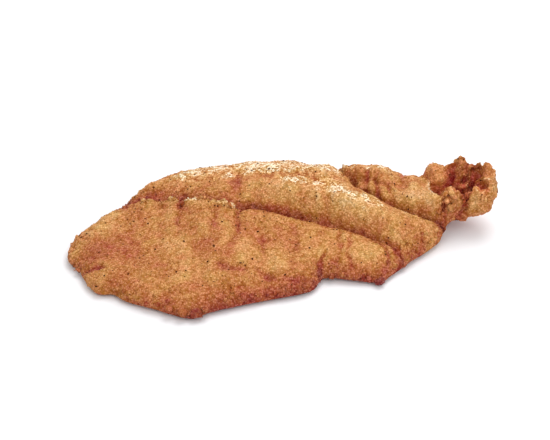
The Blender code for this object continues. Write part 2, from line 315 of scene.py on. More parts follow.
# %% Cross folds
# Depth, width and points of each
FOLDS = [
    (1.8, 1.5, [(-49, 27), (-51, 18), (-55, 8), (-59, -2)]),
    (0.8, 3.4, [(-50, 22), (-56, 6), (-62, -14)]),
    (1.4, 1.7, [(-22, 13), (-25, 2), (-29, -14)]),
    (0.9, 2.4, [(-24, 0), (-31, -18), (-40, -34)]),
    (1.2, 1.7, [(-46, -32), (-36, -36), (-28, -36)]),
    (0.9, 1.9, [(-12, 2), (-17, -24), (-20, -52)]),
    (1.6, 1.1, [(5, -45), (8.5, -39), (12, -34), (15, -27)]),
    (0.9, 1.1, [(23, -10), (24, -22), (21, -32), (17, -42)]),
    (1.1, 0.9, [(29, -13), (28, -22), (26, -31), (25, -44)]),
    (1.1, 0.9, [(36, -21), (43, -29), (44, -38), (40, -47)]),
    (1.8, 1.1, [(-113, -7.5), (-108.5, -10), (-104, -13.2), (-99, -16.2), (-95, -17.5)]),
    (1.5, 1.8, [(-30, -34), (-18, -41), (-6, -44), (9, -44)]),
    (1.9, 1.0, [(42, 34), (40, 18), (38, 4)]),
    (1.8, 1.0, [(48, 32), (47, 15), (43, 0)]),
    (1.8, 1.0, [(54, 30), (51, 13), (48, -4)]),
    (1.5, 1.0, [(60, 28), (57, 10), (53, -7)]),
    (1.3, 0.8, [(86, -1), (85.5, -7), (86, -14)]),
    (1.1, 0.8, [(89.8, -3), (89.3, -8), (90, -13)]),
    (1.0, 0.9, [(104.5, -5), (104, -10), (105, -17)]),
    (1.4, 1.2, [(91.5, 19), (92, 12), (90, 4)]),
    (1.3, 3.2, [(-16, 52), (-21, 32), (-24, 12)]),
    (0.8, 2.2, [(22, 14), (19, 0), (15, -11)]),
    (0.6, 2.8, [(-72, 28), (-72, 8), (-78, -10)]),
    (0.6, 3.0, [(-62, 26), (-65, 4), (-72, -20)]),
    (0.7, 2.6, [(-36, 14), (-40, -8), (-44, -30)]),
    (0.7, 2.4, [(3, -2), (-2, -24), (-7, -42)]),
    (0.8, 2.6, [(68, 32), (66, 16), (61, 0)]),
    (0.7, 2.6, [(34, 30), (30, 14), (27, -8)]),
    (0.7, 2.0, [(72, -22), (64, -28), (58, -40)]),
    (1.5, 2.8, [(-14, 29), (4, 23), (18, 16), (32, 6)]),
]
# Share of the length where each end fades, and the swelling's share of the depth, and place and spread in widths
FADE, SWELLING, SWELLING_PLACE, SWELLING_SPREAD = 0.25, 0.45, 2.4, 1.5


def fold_depth(x, y):
    """The depth of all folds: a dip across each fold with a low swelling beside it, faded out at its ends."""
    total = np.zeros(np.shape(x))
    for depth, width, points in FOLDS:
        along, distance = nearest(smooth_curve(points, 60), x, y)
        fade = ease(np.minimum(along, 1 - along) / FADE)
        swelling = SWELLING * bell((distance - SWELLING_PLACE * width) / (SWELLING_SPREAD * width))
        total += depth * fade * (bell(distance / width) - swelling)
    return total


print("folds:", len(FOLDS))

# %% [markdown]
# ## Noise
#
# Two kinds of noise make the whole crust. Smooth noise blends random numbers between the corners of a
# lattice and gives slow swells. Cell noise is the distance to the nearest of many scattered points: turned
# upside down, it gives rounded puffs with creases between them, which is how batter bubbles set. Both read
# their random numbers from the lattice cell itself, so they are the same on each run and anywhere on the
# fish.

# %% Smooth noise and cell noise
# Large factors send neighbouring cells far apart, and the masks keep the last 32 and 24 bits
CELL_FACTORS, SEED_FACTOR, MIX_FACTOR = np.array([374761393, 668265263, 1440662683]), 97531, 1274126177
BITS_32, BITS_24 = 0xFFFFFFFF, 0xFFFFFF


def random_of(cells, seed):
    """A number from 0 to 1 that depends only on the whole-number cell and the seed."""
    mixed = (cells @ CELL_FACTORS + seed * SEED_FACTOR) & BITS_32
    mixed = ((mixed ^ (mixed >> 13)) * MIX_FACTOR) & BITS_32
    return ((mixed ^ (mixed >> 16)) & BITS_24) / BITS_24


def smooth_noise(points, size, seed):
    """Random numbers on a lattice of that cell size, blended smoothly between its corners: -1 to 1."""
    scaled = points / size
    corner = np.floor(scaled).astype(np.int64)
    blend = ease(scaled - corner)
    total = np.zeros(len(points))
    for step in product((0, 1), repeat=3):
        weight = np.where(np.array(step) == 1, blend, 1 - blend).prod(axis=1)
        total += weight * random_of(corner + np.array(step), seed)
    return 2 * total - 1


def cell_noise(points, size, seed):
    """Distance to the nearest of points scattered one to a lattice cell, in cell sizes: 0 at it, to about 1."""
    scaled = points / size
    corner = np.floor(scaled).astype(np.int64)
    nearest_square = np.full(len(points), 9.0)
    for step in product((-1, 0, 1), repeat=3):
        cell = corner + np.array(step)
        centre = cell + np.stack([random_of(cell, seed + k) for k in range(3)], axis=1)
        nearest_square = np.minimum(nearest_square, ((scaled - centre) ** 2).sum(axis=1))
    return np.sqrt(nearest_square)


print("noise at the origin:", np.round(smooth_noise(np.zeros((1, 3)) + 0.3, 1.0, 1), 3))

# %% [markdown]
# ## The bare form
#
# The whole skin is a grid of two parameters. One runs from head to tail and picks a rib, a straight line
# across the plan from the front edge to the back edge. The other runs round the rib: over the top and back
# along the underside. Evenly spaced parameters would crowd some places and stretch others, so we measure
# the real length along the skin first and then place the grid lines evenly along it.

# %% Top and underside at any point of the plan
# Width of the turn where two forms meet
JOIN = 0.45
# The underside is flat up to LIFT_START, then rises in a short step and a long slope (rise, run)
LIFT_START, LIFT_STEP, LIFT_SLOPE = 76, (3, 6), (9.5, 40)
# The rim's widest line and its rounding, as shares of the thickness, with the least and most rounding
WIDEST, RIM_ROUND = 0.32, 4.0
SHEET_ROUND, UPPER_ROUND, LOWER_ROUND = (1.3, 4, 14), (0.75, 4, 10), (0.5, 4, 8)
# How far the lines wander and shake, and how uneven the folds are, with the size of each noise
WANDER, WANDER_SIZE, JITTER, JITTER_SIZE = 1.6, 11.0, 0.7, 3.5
UNEVEN_FOLDS, UNEVEN_SIZE = (0.75, 0.7, 0.1, 1.4), 6.0
# Narrow cuts at the bottom of the seam and the furrow: depth, and place past the line
SEAM_CUT, SEAM_CUT_FROM, FURROW_CUT, CUT_WIDTH = (1.5, 0.4), (-26, -18), (2.0, 0.3), 0.8
# The crusty ridge on the lip: where it fades in and out along x, height, place before the seam and spread
LIP_IN, LIP_OUT, LIP_RIDGE, LIP_BACK, LIP_SPREAD, LIP_BEADS = (-100, -50), (-22, -32), 2.0, 1.1, 1.3, 2.8
# Ripples over the flakes: height, size, length in widths, slant, and how far in from the edge
RIPPLE, RIPPLE_SIZE, RIPPLE_LENGTH, RIPPLE_SLANT, RIPPLE_INSET = 0.7, 8.5, 3.5, 0.3, 10
# The cleft where the back flap ends over the tail
CLEFT_DEPTH, CLEFT_PLACE, CLEFT_SPREAD = 4.0, 1.0, 1.0


def plan_noise(x, y, size, seed):
    """Smooth noise over the plan, in the shape of x."""
    flat = np.stack([np.ravel(x), np.ravel(y), np.full(np.size(x), 0.5)], axis=1)
    return smooth_noise(flat, size, seed).reshape(np.shape(x))


def form(x, y):
    """Heights of the top, the underside and the widest line at a plan point, with masks for the crust."""
    wander_x, wander_y = (start + WANDER * plan_noise(x, y, WANDER_SIZE, seed)
                          + JITTER * plan_noise(x, y, JITTER_SIZE, seed + 3) for start, seed in ((x, 11), (y, 12)))
    edge = np.abs(nearest(outline, x, y)[1])
    seam, furrow, past_flap = (nearest(smooth_curve(line), wander_x, wander_y)[1] for line in (SEAM, FURROW, FLAP_END))
    usual, spread, least, most = UNEVEN_FOLDS
    uneven = np.clip(usual + spread * plan_noise(x, y, UNEVEN_SIZE, 16), least, most)
    folds = fold_depth(wander_x, wander_y) * uneven
    beads = np.clip(0.6 + plan_noise(x, y, LIP_BEADS, 18), 0, 1.6)
    ridge = LIP_RIDGE * beads * step(x, *LIP_OUT) * step(x, *LIP_IN) * bell((seam + LIP_BACK) / LIP_SPREAD)
    top = sheet_height(x, y, seam) + ridge
    top = top + (loin_height(x, y, seam, furrow, edge) - top) * past(seam, JOIN)
    lobe = -smaller(-lobe_height(x, y, furrow, edge), -knob_height(x, y, BACK_KNOBS), KNOB_BLEND)
    top = top + (lobe - top) * past(furrow, JOIN)
    top = top - SEAM_CUT[0] * step(x, *SEAM_CUT_FROM) * bell((seam - SEAM_CUT[1]) / CUT_WIDTH)
    top = top - FURROW_CUT[0] * bell((furrow - FURROW_CUT[1]) / CUT_WIDTH)
    tail = past(past_flap, JOIN)
    top = top + (tail_height(x, y, edge) - top) * tail - folds
    ripple = plan_noise(x - RIPPLE_SLANT * y, y / RIPPLE_LENGTH, RIPPLE_SIZE, 19)
    top = top + RIPPLE * ripple * np.clip(edge / RIPPLE_INSET, 0, 1) * (1 - tail)
    top = top - CLEFT_DEPTH * bell((past_flap - CLEFT_PLACE) / CLEFT_SPREAD)
    past_start = x - LIFT_START
    bottom = LIFT_STEP[0] * ease(past_start / LIFT_STEP[1]) + LIFT_SLOPE[0] * ease(past_start / LIFT_SLOPE[1])
    thickness = top - bottom
    middle = bottom + WIDEST * thickness
    sheet_round, upper, lower = (np.clip(share * thickness, least, most)
                                 for share, least, most in (SHEET_ROUND, UPPER_ROUND, LOWER_ROUND))
    upper = sheet_round + (upper - sheet_round) * past(seam, 3)
    upper = upper + (RIM_ROUND - upper) * tail
    top = middle + (top - middle) * quarter_round(edge / upper)
    bottom = middle + (bottom - middle) * quarter_round(edge / lower)
    masks = {"edge": edge, "seam": seam, "furrow": furrow, "folds": folds, "tail": tail, "flap": -past_flap}
    return top, bottom, middle, masks


print("thickness at the origin:", round(float(np.subtract(*form(np.zeros(1), np.zeros(1))[:2])[0]), 1), "mm")


# %% A grid of ribs, evenly spaced along the skin
# Above 1, a rib's front end lags behind its back end, which fans the ribs out round the blunt head
FRONT_LAG = 1.35
RIBS, TOP_STEPS, UNDER_STEPS, SAMPLES = 372, 212, 38, 300


def rib_point(along, across):
    """The plan point at a share of the way from head to tail, and a share of the way from front to back."""
    stops = np.linspace(0, 1, len(back_curve))
    return tuple(np.interp(along ** FRONT_LAG, stops, front_curve[:, k]) * (1 - across)
                 + np.interp(along, stops, back_curve[:, k]) * across for k in (0, 1))


def even_shares(x, y, z, shares, count):
    """Shares along each row of points that divide the row's length evenly."""
    steps = np.sqrt(np.diff(x, axis=1) ** 2 + np.diff(y, axis=1) ** 2 + np.diff(z, axis=1) ** 2)
    run = np.concatenate([np.zeros((len(x), 1)), np.cumsum(steps, axis=1)], axis=1)
    run /= run[:, -1:]
    return np.array([np.interp(np.linspace(0, 1, count), row, shares) for row in run])


rounded = (1 - np.cos(np.pi * np.linspace(0, 1, SAMPLES))) / 2
spine_x, spine_y = rib_point(rounded[None, :], 0.5)
along = even_shares(spine_x, spine_y, form(spine_x, spine_y)[0], rounded, RIBS)[0]
along = along[1:-1, None]
sample_x, sample_y = rib_point(along, rounded[None, :])
across_top = even_shares(sample_x, sample_y, form(sample_x, sample_y)[0], rounded, TOP_STEPS + 1)
across_under = (1 + np.cos(np.pi * np.arange(1, UNDER_STEPS) / UNDER_STEPS)) / 2
across = np.hstack([across_top, np.broadcast_to(across_under, (len(along), UNDER_STEPS - 1))])
x, y = rib_point(along, across)
top, bottom, middle, masks = form(x, y)
on_top = np.arange(across.shape[1]) <= TOP_STEPS
z = np.where(on_top, top, bottom)
z[:, 0] = middle[:, 0]
z[:, TOP_STEPS] = middle[:, TOP_STEPS]
print("ribs:", len(x), "points round each:", x.shape[1])

# %% [markdown]
# ## The crust's relief
#
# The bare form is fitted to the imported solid's box, and each point is then pushed out along its own normal.
# Six sizes of relief add up: slow swells, lumps, puffs, beads, granules and grains. The crust is thicker and
# rougher where batter gathers, which is along the rim, on the lip and round the tail, so those places get
# more of the puffs and beads. The tail has pleats on its outside and wrinkles inside, where the skin shrank,
# and drying opened cracks. What lies on the table stays flat.

# %% Fit to the solid and take normals
FORM_LOW, FORM_SIZE = np.array([-114.0, -58.3, 0.0]), np.array([227.0, 115.4, 35.0])


def directions(points):
    """The grid's two steps at each point, along the fish and round the rib, and their cross product."""
    lengthwise = np.gradient(points, axis=0)
    round_rib = (np.roll(points, -1, axis=1) - np.roll(points, 1, axis=1)) / 2
    return lengthwise, round_rib, np.cross(lengthwise, round_rib)


def unit(vectors):
    """Vectors at length 1."""
    return vectors / np.maximum(np.linalg.norm(vectors, axis=-1, keepdims=True), 1e-9)


def to_solid(points):
    """Points scaled and moved so that the plain form just fills the solid's box, in millimetres."""
    return low / MM + (points - FORM_LOW) * (high - low) / MM / FORM_SIZE


skin = to_solid(np.stack([x, y, z], axis=2))
normal = unit(directions(skin)[2])
print("share of the top that faces up:", round(float((normal[:, 1:TOP_STEPS, 2] > 0).mean()), 2))

# %% Crests of the large forms
# A crest is higher than the mean of the points within this many grid steps
CREST_REACH, CREST_STEP = 8, 4

level = skin[:, :, 2]
around = np.zeros_like(level)
reach = range(-CREST_REACH, CREST_REACH + 1, CREST_STEP)
for rib_step, round_step in product(reach, reach):
    row = np.clip(np.arange(len(level)) + rib_step, 0, len(level) - 1)
    around += np.roll(level[row], round_step, axis=1) / len(reach) ** 2
crest = (np.clip(level - around, -1, 1) * on_top).ravel()
UPPER_SIDE = np.broadcast_to(on_top, level.shape).ravel()
print("share of the skin on a crest:", round(float((crest > 0.5).mean()), 3))

# %% Add up the relief
# Six sizes of relief, in millimetres across and high
SWELL, LUMP, PUFF, BEAD, GRANULE, GRAIN = (21.0, 0.6), (8.0, 0.4), (4.4, 0.6), (2.3, 0.55), (1.4, 0.38), (0.9, 0.2)
PUFF_LEVEL, BEAD_LEVEL = 0.45, 0.4
# Pleats outside the tail, drawn out upwards, and slanted wrinkles inside it
PLEAT, PLEAT_STRETCH, WRINKLE = (2.6, 0.9), 0.35, (3.8, 1.8)
# Cracks: size and depth, share of the noise that is crack, stretch, and size of the patches with cracks
CRACK, CRACK_SHARE, CRACK_STRETCH, CRACK_PATCH = (6.0, 0.45), 0.07, (1.0, 0.5, 1.0), 9.0
# The puffs stand out from the rim, so the skin between them starts a little inside it
RIM_WIDTH, RIM_SINK = 6.0, 0.8
# The lip's middle past the seam, its width, and the stretch of x where it fades out
LIP_MIDDLE, LIP_WIDTH, LIP_FADE = -1, 2.6, (-28, -18)
# How far in from the edge the cup's inside begins
CUP_EDGE, CUP_RUN = 1.2, 3
# Dents: middle in the plan, radius and depth
DENTS = [(-61, -58, 6, 2.4), (-90, -38, 5, 0.8)]
# Below this height the underside has this share of its relief, sunk by this much
UNDER_Z, UNDER_SHARE, UNDER_SINK = 3, 0.2, 0.2


def close_to(middle_x, middle_y, square):
    """1 at a plan point, less round it: exp of minus the squared distance over `square`."""
    return np.exp(-((x - middle_x) ** 2 + (y - middle_y) ** 2).ravel() / square)


def add_up(start, *causes):
    """A start value plus each cause times its share."""
    return sum((share * cause for share, cause in causes), start)


place, flat_x = skin.reshape(-1, 3), x.ravel()
edge, seam, furrow, tail, flap = (masks[key].ravel() for key in ("edge", "seam", "furrow", "tail", "flap"))
rim = bell(edge / RIM_WIDTH)
lip = bell((seam - LIP_MIDDLE) / LIP_WIDTH) * (1 - step(flat_x, *LIP_FADE)) * (1 - tail)
rough = np.clip(add_up(0.15, (0.9, rim), (0.7, lip), (0.6, tail), (0.5, np.clip(crest, 0, 1))), 0, 1.2)
patchy = np.clip(0.5 + 0.8 * smooth_noise(place, 13.0, 30), 0, 1)
swell = smooth_noise(place, SWELL[0], 1)
lump = smooth_noise(place, LUMP[0], 4)
puff = PUFF_LEVEL - cell_noise(place, PUFF[0], 7) ** 2
from_bead = cell_noise(place, BEAD[0], 13)
bead = BEAD_LEVEL - from_bead ** 2
granule = BEAD_LEVEL - cell_noise(place, GRANULE[0], 23) ** 2
grain = smooth_noise(place, GRAIN[0], 17)
cupped = ease((edge - CUP_EDGE) / CUP_RUN)
pleat = smooth_noise(place * (1, 1, PLEAT_STRETCH), PLEAT[0], 40) * (1 - cupped) * tail
on_ball = close_to(*TAIL_KNOBS[0][:2], 60)
slanted = np.stack([0.35 * (place[:, 0] + place[:, 2]), 0.7 * (place[:, 0] - place[:, 2]), place[:, 1]], axis=1)
wrinkle = (0.5 - 2 * np.abs(smooth_noise(slanted, WRINKLE[0], 46))) * cupped * tail * (1 - on_ball)
crack = bell(smooth_noise(place * CRACK_STRETCH, CRACK[0], 50) / CRACK_SHARE)
crack = crack * ease(2 * smooth_noise(place, CRACK_PATCH, 51) + 0.6) * (1 - 0.5 * tail)
dent = sum(depth * close_to(*middle, radius ** 2) for *middle, radius, depth in DENTS)
relief = (SWELL[1] * swell + LUMP[1] * lump + PUFF[1] * puff * (0.35 + 1.5 * rough)
          + BEAD[1] * bead * (0.4 + 0.5 * patchy + 0.7 * rough) + GRANULE[1] * granule * (0.5 + 0.7 * patchy)
          + GRAIN[1] * grain + PLEAT[1] * pleat + WRINKLE[1] * wrinkle - CRACK[1] * crack - dent - RIM_SINK * rim)
under = ~UPPER_SIDE & (place[:, 2] < UNDER_Z)
relief = np.where(under, UNDER_SHARE * relief - UNDER_SINK, relief)
crust = place + relief[:, None] * normal.reshape(-1, 3)
crust[:, 2] = np.maximum(crust[:, 2], low[2] / MM)
crust = crust.reshape(skin.shape)
print("relief in millimetres:", np.round([relief.min(), relief.mean(), relief.max()], 2))

# %% [markdown]
# ## Browning, painted shade and painted highlight
#
# The colour of a fried crust is one scale, from pale flour through gold to russet and dark red-brown. So one
# mask says how far each point has browned, and the material turns it into colour. The same mask also carries
# painted shade and painted highlight. Thin edges and folds brown most, since hot oil reaches them from both
# sides or stays in them. Folds, the seam, the furrow and the band behind the lip are also darker as painted
# shade. So are the low sides near the table, the pits between puffs and beads, and the depths of the cup. The
# tops of puffs and the crests of the large forms are paler as painted highlight, and pale lines of thick flour
# with painted highlight run along the crests and thin edges. Slow noise does the rest, with soft round patches
# painted where this piece fried to gold or to red-brown. Three more masks say how high a point stands in the
# relief, where thick flour and painted highlight lie, and where the cup of the tail kept oil and fried redder.

# %% How browned each point is, with painted shade and painted highlight
# Reach of the browning and painted shade from the seam and the furrow, of the painted shade behind the lip, and of the
# painted shade up from the table
SEAM_REACH, FURROW_REACH, LIP_SHADE, NEAR_TABLE = 0.8, 0.9, 7.0, 11.0
# Noise in the browning: size in millimetres and strength
PATCH_MM, MOTTLE_MM = (16.0, 0.06), (5.0, 0.05)
# Patches: middle in the plan, radius, and tone from -1 for red-brown to 1 for gold
PATCHES = [
    (-68, -3, 8, 0.5), (-60, -14, 8, 0.8), (-54, -31, 8, 0.8), (-29, -24, 8, 1.0), (-63, 14, 7, 0.8),
    (-88, 18, 9, 1.0), (-98, 12, 6, 0.8), (36, -13, 11, 0.8), (68, 0, 11, 0.9), (60, -12, 8, 0.5), (-2, 9, 10, 0.8),
    (6, -29, 8, 0.7), (-15, -31, 7, 0.9), (22, -17, 7, 0.6), (33, -33, 6, 0.7), (-17, 17, 8, 0.7), (18, -1, 9, 0.9),
    (56, -29, 8, 0.5), (-102, 0, 6, -1.3), (-95, 3, 7, -0.8), (-94, -5, 7, -0.8), (-86, -4, 8, -0.5),
    (-111, 5, 4, 0.8), (-104, -21, 6, 0.4), (-101, -9, 5, -1.0), (-80, -14, 9, -0.8), (-72, -20, 9, -0.6),
    (-40, -30, 7, -0.9), (-85, 2, 9, -0.8), (-35, -44, 7, -0.7), (-46, -18, 7, -0.6), (-22, 24, 6, -0.8),
    (-5, -46, 9, -0.7), (-78, -44, 6, 0.4), (110.5, -6, 6.5, 1.0), (83, 12, 7, 0.7), (98, 8, 5, -0.5),
    (99.5, -11, 5, 0.8), (85, -8, 6, 0.3), (-10, -12, 8, -0.4), (-90, -22, 8, -0.5), (36, 29, 6, 0.7),
    (70, -20, 9, 0.9)]
# Lines where thick flour and a painted highlight on the crests stay pale: width and points
FLOUR_AND_HIGHLIGHT_LINES = [
    (7.5, [(-46, 40), (-20, 42), (2, 36), (16, 30), (30, 24)]), (4.6, [(4, 20), (18, 12), (32, 3), (46, -6)]),
    (2.6, [(-30, 30), (-10, 32), (6, 27)]), (3.0, [(40, 31), (50, 28), (60, 23)]),
    (2.2, [(-76, 38), (-60, 48), (-40, 52), (-14, 50)])]
# A pale line of painted highlight on thin edges too: how far in from the edge it lies, its width, and where the lip's
# fades out
PALE_EDGE_HIGHLIGHT, PALE_LIP_FADE = (1.2, 1.1), (-27, -20)

# Darker along the seam and the furrow: browning in the crease, and painted shade
valley = np.exp(-np.abs(seam - 0.5) / np.where(seam < 0.5, 2 * SEAM_REACH, SEAM_REACH))
valley = valley + (0.7 + 0.7 * step(flat_x, 45, 60)) * np.exp(-np.abs(furrow) / FURROW_REACH)
# A darker band behind the lip: painted shade where the lip hides the loin's foot, with redder crust
behind_lip = bell(seam / (LIP_SHADE - 4.5 * step(flat_x, -32, -16))) * (seam > 0)
behind_lip = behind_lip * (1 - step(flat_x, 2, 16)) * (0.4 + 0.6 * step(flat_x, -85, -45))
# Darker in the folds and along the lines: browning, and painted shade
fold = np.clip(masks["folds"].ravel() / 2.0 + (valley + behind_lip) * (1 - tail), 0, 1)
tone = np.clip(sum(value * close_to(*middle, radius ** 2) for *middle, radius, value in PATCHES), -2, 2)
# Inside the cup, more so towards its depths: redder crust, darkened with depth as painted shade
inside = tail * cupped * (0.3 + 0.7 * ease((29 - place[:, 2]) / 9))
browned_rim = 0.1 + 0.9 * step(flat_x, -108, -58)
browned_rim = browned_rim * (1 - 0.8 * close_to(74, -23, 250))

# Paler lines: thick flour and painted highlight on the crests, the lip's edge and the flap's edge
pale = sum(bell(nearest(smooth_curve(line, 60), x, y)[1] / width) for width, line in FLOUR_AND_HIGHLIGHT_LINES).ravel()
on_right = 1 - 0.5 * (1 - step(flat_x, -60, -50))
pale = pale + on_right * bell((seam + PALE_EDGE_HIGHLIGHT[0]) / PALE_EDGE_HIGHLIGHT[1]) * (1 - step(flat_x, *PALE_LIP_FADE))
pale = pale + 0.6 * bell((flap - PALE_EDGE_HIGHLIGHT[0]) / PALE_EDGE_HIGHLIGHT[1]) * (furrow > 4)
pale = np.clip(pale, 0, 1) * np.clip(0.7 + 0.6 * smooth_noise(place, 3.0, 41), 0, 1) * (1 - inside)
# Painted highlight on the ridges of the wrinkles inside the cup
pale = pale + 0.4 * ease((wrinkle - 0.15) / 0.3)
height = np.clip(add_up(0.5, (0.4, puff), (0.4, bead), (0.3, granule), (0.15, grain), (-0.5, crack)), 0, 1)

patch = smooth_noise(place, PATCH_MM[0], 42) + 0.5 * smooth_noise(place, PATCH_MM[0] / 2, 43)
mottle = smooth_noise(place, MOTTLE_MM[0], 44) + 0.6 * smooth_noise(place, MOTTLE_MM[0] / 2, 45)
# Painted shade low down near the table, and under the tail's front pleats
painted_shade_low = ease(1 - place[:, 2] / NEAR_TABLE) * (1 - tail)
painted_shade_low = painted_shade_low + 1.6 * tail * close_to(89, -11, 60) * ease((18 - place[:, 2]) / 6)
# Painted shade in the creases between beads; the height term below paints puff tops paler and pits darker
painted_crevice_shade = ease((from_bead - 0.5) / 0.3)
# How much each cause darkens the crust or, with a minus, pales it: browning and noise, painted shade in the folds,
# pits, cup and low down, and painted highlight on crests and puff tops
browning_and_shade = add_up(0.5, (PATCH_MM[1], patch), (MOTTLE_MM[1], mottle), (-0.15, tone), (0.3, fold),
                  (0.2, rim * (1 - 0.8 * tail) * browned_rim), (0.2, inside * (1 - 0.75 * ease(tone))),
                  (0.18, painted_shade_low * browned_rim), (-0.1, np.clip(crest, -0.5, 1)), (-0.12, height - 0.55),
                  (0.05, painted_crevice_shade * (0.4 + patchy)))
browning_and_shade = np.clip(browning_and_shade, 0, 1)
skin_masks = {"browning_and_shade": browning_and_shade, "height": height, "flour": pale, "soaked": inside}
print("browning, from the palest to the darkest tenth:", np.percentile(browning_and_shade[UPPER_SIDE], [10, 50, 90]).round(2))

# %% [markdown]
# ## Making meshes from arrays
#
# The arrays become a mesh in one step. The grid closes on itself round each rib, and the two ends are closed
# by a fan of triangles round a single tip, so the skin is one sealed surface.

# %% New pieces
COLLECTION = bpy.context.scene.collection


def new_piece(name, points, faces, attributes):
    """A mesh object from points in millimetres, with one number per point for each attribute."""
    mesh = bpy.data.meshes.new(name)
    mesh.from_pydata(points * MM, [], faces)
    for key, values in attributes.items():
        mesh.attributes.new(key, "FLOAT", "POINT").data.foreach_set("value", values.astype(np.float32))
    mesh.shade_smooth()
    piece = bpy.data.objects.new(name, mesh)
    COLLECTION.objects.link(piece)
    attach(piece, "root")
    return piece


def grid_faces(rows, columns):
    """Quads between neighbouring points of a grid that closes on itself along its columns."""
    row, column = (part.ravel() for part in np.meshgrid(np.arange(rows - 1), np.arange(columns), indexing="ij"))
    after = (column + 1) % columns
    corners = [(row, column), (row + 1, column), (row + 1, after), (row, after)]
    return np.stack([r * columns + c for r, c in corners], axis=1)


def end_fans(rows, columns):
    """Triangles from the first and the last row to the two points that come after the grid's own."""
    ring, last = np.arange(columns), (rows - 1) * columns
    after = np.roll(ring, -1)
    return np.vstack([np.stack([np.full(columns, rows * columns), ring, after], axis=1),
                      np.stack([np.full(columns, rows * columns + 1), last + after, last + ring], axis=1)])


rows, columns = x.shape
tip_x, tip_y = np.array([HEAD_TIP, TAIL_TIP], float).T
tips = to_solid(np.stack([tip_x, tip_y, form(tip_x, tip_y)[2]], axis=1))
faces = grid_faces(rows, columns).tolist() + end_fans(rows, columns).tolist()
points = np.vstack([crust.reshape(-1, 3), tips])
with_tips = {key: np.concatenate([values, values[[0, -1]]]) for key, values in skin_masks.items()}
skin_piece = new_piece("crust_skin", points, faces, with_tips)
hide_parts(NODE)
print("triangles in the skin:", sum(len(face) - 2 for face in faces))

# %% [markdown]
# ## Material helpers
#
# Colours are written as the sRGB hex values that a colour picker shows, and one function turns them to the
# linear values that shaders work in. One more function adds a node with its settings and links, so that a
# material reads as a short list of steps.

# %% Colours and nodes
def linear(hex_colour):
    """The linear RGBA of an sRGB hex colour."""
    srgb = np.array([int(hex_colour[k:k + 2], 16) for k in (1, 3, 5)]) / 255
    rgb = np.where(srgb <= 0.04045, srgb / 12.92, ((srgb + 0.055) / 1.055) ** 2.4)
    return (*rgb.tolist(), 1.0)


def add(tree, kind, settings=None, links=None):
    """Adds a node; a setting is one of its own properties, or else an input's value by name or number."""
    node = tree.nodes.new("ShaderNode" + kind)
    for key, value in (settings or {}).items():
        if isinstance(key, str) and hasattr(node, key):
            setattr(node, key, value)
        else:
            node.inputs[key].default_value = value
    for key, output in (links or {}).items():
        tree.links.new(output, node.inputs[key])
    return node


def new_material(name, inputs):
    """A material with those values on its shader's own inputs, its node tree and its shader."""
    material = bpy.data.materials.new(name)
    material.use_nodes = True
    shader = material.node_tree.nodes["Principled BSDF"]
    for key, value in inputs.items():
        shader.inputs[key].default_value = value
    return material, material.node_tree, shader


print("golden brown as linear:", np.round(linear("#C17F4F"), 3))

# %% [markdown]
# ## Fried crust
#
# The crust is flour and egg dried out by frying: starch gives it a matt, sandy grain, and the oil it holds
# gives the tops of the grains a soft shine. One colour ramp holds the whole scale of browning, and the
# browning mask, which also carries painted shade and painted highlight, picks from it, with two finer patterns
# added that are too small for the skin's own points: specks of 2.2 mm, and granules of flour of 0.9 mm, each
# with its own shade. The granules are drawn a little coarser than real flour, which would be too fine to show.
# The crevices between them are darker as painted shade, the light ones are whiter, and where the mask of thick
# flour and painted highlight lies, some stay pale. Slow noise of 7 mm turns the colour a little to red or to
# yellow, and the oily inside of the cup is redder and lighter. In the pits the crust is drier, so it shines
# less.

# %% Fried crust material
BROWNING_SCALE = [
    (0.0, "#F4DEBE"), (0.14, "#E5BD8D"), (0.3, "#D49C5E"), (0.45, "#C78549"), (0.6, "#B86E3A"), (0.74, "#AE5B35"),
    (0.88, "#A24B31"), (1.0, "#883626")]
GRANULE_MM, WHITENING = 0.9, 0.045
# Smooth patterns: size in millimetres, and detail
PATTERNS = {"tint": (7.0, 0), "specks": (2.2, 1), "dust": (0.5, 2)}
# Each effect: the mask or pattern it reads, two values of that, and what they become
# The crevice effect is painted shade in the gaps between granules
EFFECTS = {"specks": ("specks", 0.3, 0.7, -0.05, 0.05), "flour": ("granule", 0.1, 0.9, -0.05, -0.75),
           "light": ("granule", 0.0, 1.0, 0.1, 1.2), "painted_crevice_shade": ("gap", 0.3, 0.7, 1.0, 0.4),
           "hue": ("tint", 0.3, 0.7, 0.495, 0.506), "soaked_hue": ("soaked", 0.0, 1.0, 0.0, -0.014),
           "soaked_value": ("soaked", 0.0, 1.0, 0.0, 0.2), "roughness": ("height", 0.2, 0.9, 0.75, 0.5),
           "rounded": ("gap", 0.0, 0.8, 1.0, 0.0)}
LIMITS, SUM, PRODUCT = ("From Min", "From Max", "To Min", "To Max"), {"operation": "ADD"}, {"operation": "MULTIPLY"}

crust_look, tree, shader = new_material("fried_flour_crust", {"IOR": 1.46, "Specular IOR Level": 0.35})
where = {"Vector": add(tree, "TexCoord").outputs["Object"]}
source = {key: add(tree, "Attribute", {"attribute_name": key}).outputs["Fac"] for key in skin_masks}
for key, (size, detail) in PATTERNS.items():
    noise = add(tree, "TexNoise", {"Scale": 1 / (size * MM), "Detail": detail, "Roughness": 0.6}, where)
    source[key] = noise.outputs["Fac"]
granules = add(tree, "TexVoronoi", {"Scale": 1 / (GRANULE_MM * MM)}, where)
source["granule"] = add(tree, "SeparateColor", {}, {"Color": granules.outputs["Color"]}).outputs[0]
source["gap"] = granules.outputs["Distance"]
effect = {key: add(tree, "MapRange", dict(zip(LIMITS, ends)), {"Value": source[read]}).outputs["Result"]
          for key, (read, *ends) in EFFECTS.items()}

